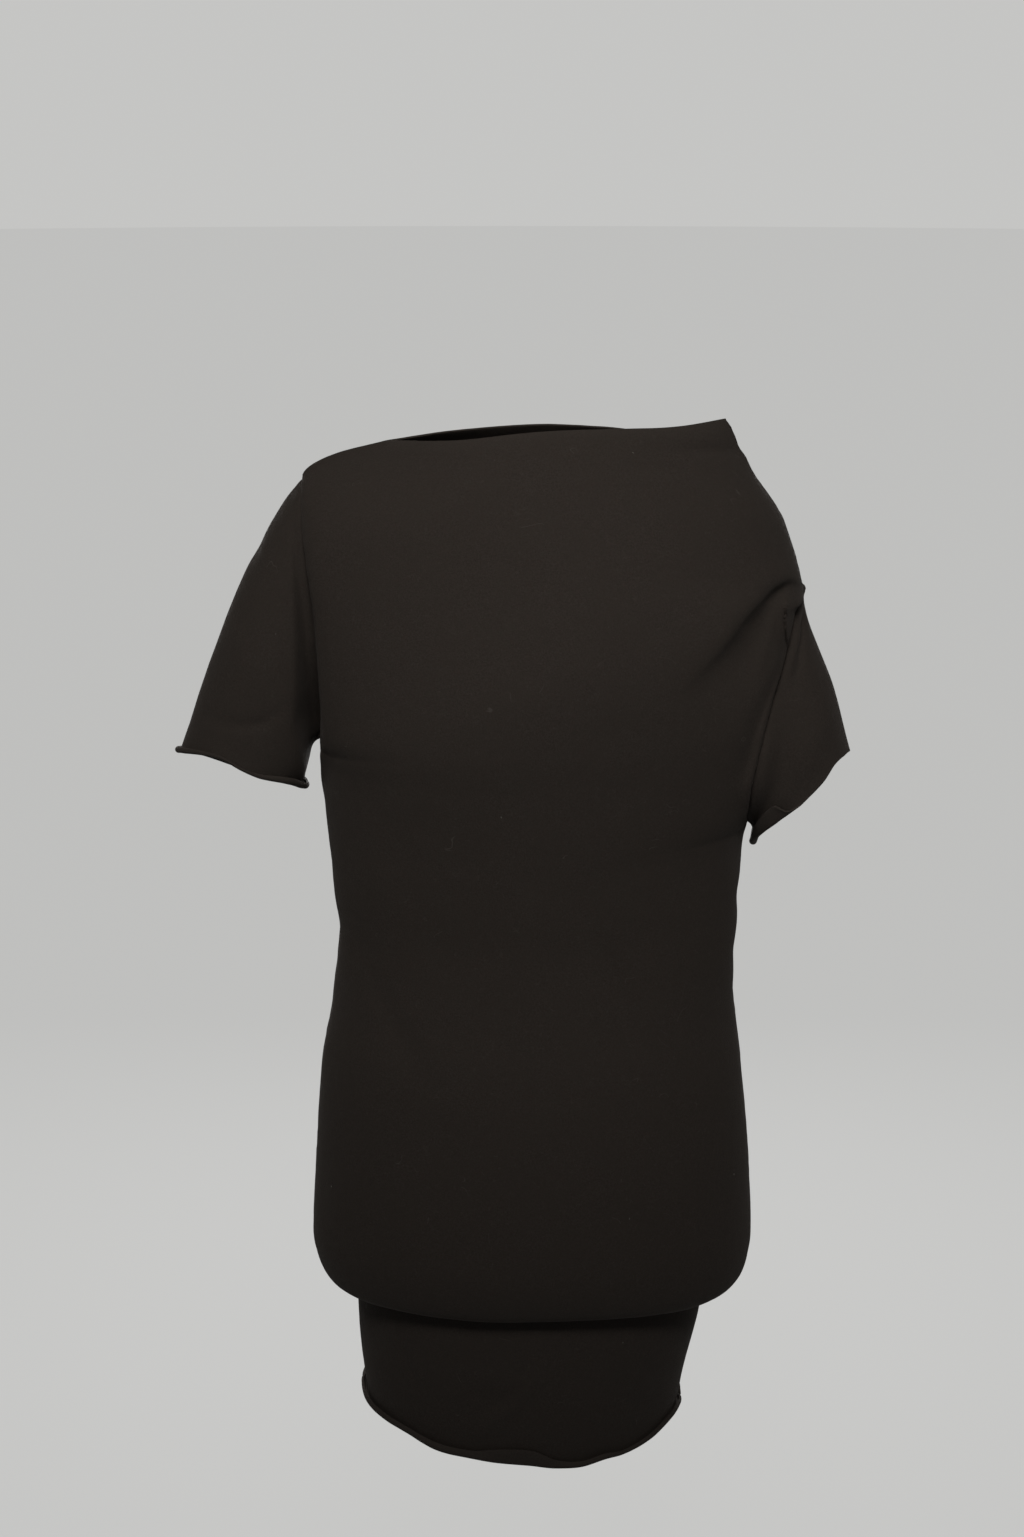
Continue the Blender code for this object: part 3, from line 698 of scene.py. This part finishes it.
def drawn_together(plain, pieces):
    """The pieces with their seams closed again: where plain pieces met, the shaped ones do too."""
    meeting = {}
    for before, after in zip(plain, pieces):
        for cell in edge_cells(before):
            meeting.setdefault(place_key(before.points[cell]), []).append(after.points[cell])
    shared = {key: np.mean(places, axis=0) for key, places in meeting.items()}
    share = (1 - np.arange(SEAM_BLEND) / SEAM_BLEND) ** 2
    closed = []
    for before, after in zip(plain, pieces):
        points = after.points.copy()
        for number in (0, -1):
            target = np.array([shared[place_key(place)] for place in before.points[number]])
            shift = target - points[number]
            for step, part in enumerate(share):
                points[step if number == 0 else -1 - step] += part * shift
        if not after.ring:
            for number in (0, -1):
                target = np.array([shared[place_key(place)] for place in before.points[:, number]])
                shift = target - points[:, number]
                for step, part in enumerate(share):
                    points[:, step if number == 0 else -1 - step] += part * shift
        closed.append(after._replace(points=points))
    return closed


# ---- Walls --------------------------------------------------------------------------------------
def seam_directions(pieces):
    """For each point where pieces meet, the outward direction that suits all of them equally."""
    meeting = {}
    for piece in pieces:
        normals = surface_normals(piece.points, piece.facing, piece.ring)
        for cell in edge_cells(piece):
            meeting.setdefault(place_key(piece.points[cell]), []).append(normals[cell])
    shared = {}
    for key, normals in meeting.items():
        normals = np.array(normals)
        weights = np.ones(len(normals))
        for _ in range(SEAM_ROUNDS):
            direction = unit(weights @ normals)
            weights *= SEAM_PUSH - normals @ direction
            weights /= weights.sum()
        shared[key] = direction
    return shared


def pull_back(normal, direction):
    """How far an edge stops short of its seam, so that two walls meeting at an angle stay apart."""
    lean = np.clip(normal @ direction, cos(MAX_LEAN), 1.0)
    return (SEAM_GAP / 2 + SEAM_ROOM * WALL / 2 * sqrt(1 - lean ** 2)) / lean


def stopped_short(piece, shared):
    """A piece's middle surface, stopping just short of its seams."""
    points = piece.points
    normals = surface_normals(points, piece.facing, piece.ring)
    if piece.ring:
        along_row = unit(np.roll(points, -1, axis=1) - np.roll(points, 1, axis=1))
    else:
        along_row = unit(np.gradient(points, axis=1))
    along_column = unit(np.gradient(points, axis=0))
    inwards = np.zeros_like(points)
    inwards[0] += piece.facing * np.cross(along_row[0], normals[0])
    inwards[-1] -= piece.facing * np.cross(along_row[-1], normals[-1])
    if not piece.ring:
        inwards[:, 0] += piece.facing * np.cross(normals[:, 0], along_column[:, 0])
        inwards[:, -1] -= piece.facing * np.cross(normals[:, -1], along_column[:, -1])
    middle = points.copy()
    for cell in edge_cells(piece):
        direction = shared[place_key(points[cell])]
        middle[cell] += pull_back(normals[cell], direction) * inwards[cell]
    return middle


def grain_map(piece):
    """Across and up the cloth in metres, for each point, with one more column on a tube."""
    points = piece.points
    if piece.ring:
        points = np.concatenate([points, points[:, :1]], axis=1)
    across = edge_distance(points, "right")
    return np.stack([across - across[:, -1:] / 2, edge_distance(points, "bottom")], axis=-1)


def raw_edge_share(piece):
    """1 on a piece's raw edge, dying away to 0 a few millimetres in."""
    if piece.name in HEMS:
        return np.exp(-(edge_distance(piece.points, "bottom") / RAW_EDGE_WIDTH) ** 2)
    share = np.exp(-(edge_distance(piece.points, "top") / RAW_EDGE_WIDTH) ** 2)
    share[:, :SHOULDER_COLUMNS] = 0.0
    return share


def add_cloth(piece, shared, material):
    """The piece as a thin shell of knit in the scene, replacing its wall in the frame."""
    middle = stopped_short(piece, shared)
    rows, columns = middle.shape[:2]
    numbers = np.arange(rows * columns).reshape(rows, columns)
    if piece.ring:
        numbers = np.column_stack([numbers, numbers[:, 0]])
    order = [0, 1, 2, 3] if piece.facing > 0 else [3, 2, 1, 0]

    def corners(grid):
        four = np.stack([grid[:-1, :-1], grid[1:, :-1], grid[1:, 1:], grid[:-1, 1:]], axis=2)
        return four[:, :, order].reshape(-1, *four.shape[3:])

    mesh = bpy.data.meshes.new(piece.name + "_knit")
    mesh.from_pydata(middle.reshape(-1, 3).tolist(), [], corners(numbers).reshape(-1, 4).tolist())
    grain = corners(grain_map(piece)).astype(np.float32)
    mesh.uv_layers.new(name="grain").data.foreach_set("uv", grain.ravel())
    raw = mesh.attributes.new("raw_edge", "FLOAT", "POINT")
    raw.data.foreach_set("value", raw_edge_share(piece).astype(np.float32).ravel())
    mesh.shade_smooth()
    mesh.materials.append(material)
    cloth = bpy.data.objects.new(piece.name + "_knit", mesh)
    bpy.context.scene.collection.objects.link(cloth)
    thicken(cloth)
    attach(cloth, "root")
    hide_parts(piece.name)


def thicken(cloth):
    """Give a shell its wall and rounded rims."""
    wall = cloth.modifiers.new("wall", "SOLIDIFY")
    wall.thickness = WALL
    wall.offset = 0.0
    rim = cloth.modifiers.new("rim", "BEVEL")
    rim.width = RIM_ROUNDING
    rim.segments = 2
    rim.limit_method = "ANGLE"
    rim.angle_limit = RIM_ANGLE
    bpy.ops.object.select_all(action="DESELECT")
    bpy.context.view_layer.objects.active = cloth
    cloth.select_set(True)
    for modifier in ("wall", "rim"):
        bpy.ops.object.modifier_apply(modifier=modifier)
    cloth.select_set(False)


# ---- Knit material ------------------------------------------------------------------------------
class Nodes:
    """Short ways to add and join shader nodes."""

    def __init__(self, tree):
        self.tree = tree

    def add(self, kind, inputs=None, **settings):
        node = self.tree.nodes.new(kind)
        for name, value in settings.items():
            setattr(node, name, value)
        for name, value in (inputs or {}).items():
            if isinstance(value, bpy.types.NodeSocket):
                self.tree.links.new(value, node.inputs[name])
            else:
                node.inputs[name].default_value = value
        return node

    def math(self, operation, first, second=0.0, third=0.0, clamp=False):
        inputs = {0: first, 1: second, 2: third}
        return self.add("ShaderNodeMath", inputs, operation=operation, use_clamp=clamp).outputs[0]

    def mix(self, share, first, second):
        return self.add("ShaderNodeMix", {0: share, 6: first, 7: second}, data_type="RGBA").outputs[2]

    def noise(self, place, waves, detail=2.0, roughness=0.5, distortion=0.0):
        inputs = {"Vector": place, "Scale": waves, "Detail": detail, "Roughness": roughness,
                  "Distortion": distortion}
        return self.add("ShaderNodeTexNoise", inputs).outputs["Fac"]

    def span(self, value, low, high, start=0.0, end=1.0):
        """From start, where the value is low or under, to end, where it is high or over."""
        return self.add("ShaderNodeMapRange", {0: value, 1: low, 2: high, 3: start, 4: end},
                        interpolation_type="SMOOTHSTEP").outputs[0]


def stray_fibres(n, place, waves, width, rarity):
    """1 along thin bent lines, as of stray fibres lying on the nap, and 0 elsewhere."""
    ridge = n.math("ABSOLUTE", n.math("SUBTRACT", n.noise(place, waves, 1.0, 0.5, 0.8), 0.5))
    here = n.span(n.noise(place, waves * 0.8 + 7.0, 1.0), rarity, rarity + 0.03)
    return n.math("MULTIPLY", n.span(ridge, width, width * 0.4), here)


def knit_material():
    """Felted fine jersey: columns of small stitches under a nap, heathered in brown."""
    material = bpy.data.materials.new("felted_knit")
    material.use_nodes = True
    tree = material.node_tree
    n = Nodes(tree)
    shader = tree.nodes["Principled BSDF"]
    grain = n.add("ShaderNodeUVMap", uv_map="grain").outputs[0]
    split = n.add("ShaderNodeSeparateXYZ", {0: grain})
    place = n.add("ShaderNodeTexCoord").outputs["Object"]

    # Stitches: each column is two leaning legs, with a groove between them and beside them.
    across = n.math("DIVIDE", split.outputs[0], WALE)
    up = n.math("DIVIDE", split.outputs[1], COURSE)
    leg = n.math("MULTIPLY", n.math("PINGPONG", across, 0.5), 2.0)
    wale = n.math("SINE", n.math("MULTIPLY", leg, pi))
    course = n.math("COSINE", n.math("MULTIPLY", n.math("MULTIPLY_ADD", leg, 0.55, up), 2 * pi))
    stitch = n.math("MULTIPLY", wale, n.math("MULTIPLY_ADD", course, 0.3, 0.7))

    # Nap: felting blurs the stitches unevenly and lays short fibres over them.
    felt = n.span(n.noise(place, FELT_WAVES, 3.0), 0.30, 0.70, 0.22, 0.50)
    stitch = n.math("MULTIPLY", stitch, felt)
    nap = n.noise(place, NAP_WAVES, 3.0, 0.6, 0.5)
    pile = n.noise(place, PILE_WAVES, 3.0, 0.6)
    surface = n.math("MULTIPLY_ADD", nap, 0.8, stitch)
    surface = n.math("MULTIPLY_ADD", pile, 1.5, surface)

    # Colour: dark and light yarn, faint reddish and greenish drifts, pale stray fibres and lint, and
    # painted shade in the stitches' grooves.
    heather = n.span(n.noise(place, HEATHER_WAVES, 4.0, 0.75), 0.22, 0.78)
    colour = n.mix(heather, KNIT_DARK, KNIT_LIGHT)
    colour = n.mix(n.span(n.noise(place, CLOUD_WAVES, 3.0, 0.6), 0.35, 0.65, 0.0, 0.5), colour, KNIT_BROWN)
    drift = n.noise(place, DRIFT_WAVES, 3.0, 0.6)
    colour = n.mix(n.span(drift, 0.55, 0.70, 0.0, 0.30), colour, KNIT_RED)
    colour = n.mix(n.span(drift, 0.45, 0.30, 0.0, 0.30), colour, KNIT_GREEN)
    for waves, width, rarity, share in STRAY_FIBRES:
        fibres = stray_fibres(n, place, waves, width, rarity)
        colour = n.mix(n.math("MULTIPLY", fibres, share), colour, FIBRE_COLOUR)
    # Painted shade: the colour is darkened in the grooves between and beside the stitches, where shade
    # falls.
    groove_shade = n.math("MULTIPLY_ADD", stitch, -0.20, 0.10, clamp=True)
    colour = n.mix(groove_shade, colour, GROOVE_SHADE_COLOUR)
    # Raw edges a little paler, towards the fibres' colour.
    edge = n.add("ShaderNodeAttribute", attribute_name="raw_edge").outputs["Fac"]
    colour = n.mix(n.math("MULTIPLY", edge, 0.12), colour, FIBRE_COLOUR)
    squeezed = n.add("ShaderNodeVectorMath", {0: grain, 1: LINT_SQUEEZE}, operation="MULTIPLY")
    specks = n.add("ShaderNodeTexVoronoi", {"Vector": squeezed.outputs[0], "Scale": LINT_CELLS},
                   voronoi_dimensions="2D")
    bright = n.add("ShaderNodeSeparateColor", {0: specks.outputs["Color"]}).outputs[0]
    lint = n.math("MULTIPLY", n.span(specks.outputs["Distance"], 0.0060, 0.0032),
                  n.math("POWER", bright, 9.0))
    colour = n.mix(lint, colour, LINT_COLOUR)

    bump = n.add("ShaderNodeBump", {"Strength": 0.5, "Distance": NAP_RELIEF, "Height": surface})
    tree.links.new(colour, shader.inputs["Base Color"])
    tree.links.new(bump.outputs[0], shader.inputs["Normal"])
    tree.links.new(n.math("MULTIPLY_ADD", pile, 0.12, 0.86), shader.inputs["Roughness"])
    shader.inputs["Specular IOR Level"].default_value = 0.12
    shader.inputs["Sheen Weight"].default_value = 0.05
    shader.inputs["Sheen Roughness"].default_value = 0.5
    shader.inputs["Sheen Tint"].default_value = SHEEN_TINT
    return material


# ---- Studio -------------------------------------------------------------------------------------
def add_camera():
    """A camera at the photograph's viewing angle."""
    data = bpy.data.cameras.new("camera")
    data.sensor_width = SENSOR
    data.lens = SENSOR * FOCAL_LENGTH / PHOTO_HEIGHT
    data.clip_start = 0.05
    camera = bpy.data.objects.new("camera", data)
    camera.location = CAMERA_PLACE
    camera.rotation_euler = (pi / 2 - CAMERA_PITCH, 0.0, 0.0)
    bpy.context.scene.collection.objects.link(camera)
    bpy.context.scene.camera = camera


def add_softbox(box):
    """A large soft light turned to its aim."""
    data = bpy.data.lights.new(box.name, "AREA")
    data.shape = "RECTANGLE"
    data.size = box.width
    data.size_y = box.height
    data.energy = box.watts
    data.spread = box.spread
    light = bpy.data.objects.new(box.name, data)
    light.location = box.place
    aim = Vector(box.aim) - Vector(box.place)
    light.rotation_euler = aim.to_track_quat("-Z", "Y").to_euler()
    light.visible_camera = False
    bpy.context.scene.collection.objects.link(light)


def add_floor():
    """A plain pale floor, which throws no light up at the dress."""
    bpy.ops.mesh.primitive_circle_add(vertices=FLOOR_SIDES, radius=FLOOR_RADIUS, fill_type="NGON",
                                      location=(0, 0, FLOOR_HEIGHT))
    floor = bpy.context.object
    floor.name = "floor"
    floor.visible_diffuse = False
    material = bpy.data.materials.new("floor")
    material.use_nodes = True
    shader = material.node_tree.nodes["Principled BSDF"]
    shader.inputs["Base Color"].default_value = FLOOR_COLOUR
    shader.inputs["Roughness"].default_value = 0.9
    shader.inputs["Specular IOR Level"].default_value = 0.0
    shader.inputs["Emission Color"].default_value = BACKDROP_COLOUR
    shader.inputs["Emission Strength"].default_value = FLOOR_GLOW
    floor.data.materials.append(material)


def add_surroundings():
    """A pale backdrop, and dim light from all round that is weaker from below."""
    world = bpy.data.worlds.new("studio")
    bpy.context.scene.world = world
    world.use_nodes = True
    n = Nodes(world.node_tree)
    n.tree.nodes.clear()
    way = n.add("ShaderNodeSeparateXYZ", {0: n.add("ShaderNodeTexCoord").outputs["Generated"]})
    strength = n.span(way.outputs["Z"], DIMMEST_DIRECTION, 1.0, LIGHT_FROM_BELOW, LIGHT_FROM_ABOVE)
    light = n.add("ShaderNodeBackground", {"Color": (1, 1, 1, 1), "Strength": strength}).outputs[0]
    seen = n.add("ShaderNodeBackground", {"Color": BACKDROP_COLOUR, "Strength": 1.0}).outputs[0]
    path = n.add("ShaderNodeLightPath").outputs["Is Camera Ray"]
    mixed = n.add("ShaderNodeMixShader", {0: path, 1: light, 2: seen}).outputs[0]
    n.add("ShaderNodeOutputWorld", {"Surface": mixed})


# ---- The dress ----------------------------------------------------------------------------------
def add_dress():
    """Lay the six pieces, press in their creases, roll their raw edges and close their seams."""
    front = body_panel("front", -1)
    back = body_panel("back", 1)
    right_armhole = armhole_ring(front, back, 0, RIGHT_UNDERARM_LEVEL, 0)
    left_armhole = armhole_ring(front, back, NUB_LEVEL, LEFT_UNDERARM_LEVEL, -1)
    plain = [
        front,
        back,
        sleeve("sleeve_right", RIGHT_SLEEVE, right_armhole, 1),
        sleeve("sleeve_left", LEFT_SLEEVE, left_armhole, -1),
        band_half("band_front", -1),
        band_half("band_back", 1),
    ]
    lines = []
    for name, view in VIEWS.items():
        seen = cloth_seen(plain, view)
        for crease in CREASES[name]:
            lines.append((crease.shape, view.facing, crease_line(crease.points, view.axes, seen)))
    sides = ["right", "left"]
    sewn = [sides + ["bottom"], sides + ["bottom"], ["top"], ["top"], sides + ["top"], sides + ["top"]]
    pieces = [shaped(piece, lines, edges) for piece, edges in zip(plain, sewn)]
    plain = plain[:2] + [with_hem(piece) for piece in plain[2:]]
    pieces = pieces[:2] + [with_hem(piece) for piece in pieces[2:]]
    pieces = drawn_together(plain, pieces)
    shared = seam_directions(pieces)
    material = knit_material()
    for piece in pieces:
        add_cloth(piece, shared, material)


bpy.ops.object.select_all(action="DESELECT")
bpy.context.scene.view_settings.view_transform = "Standard"
add_camera()
add_dress()
add_floor()
add_surroundings()
for softbox in SOFTBOXES:
    add_softbox(softbox)
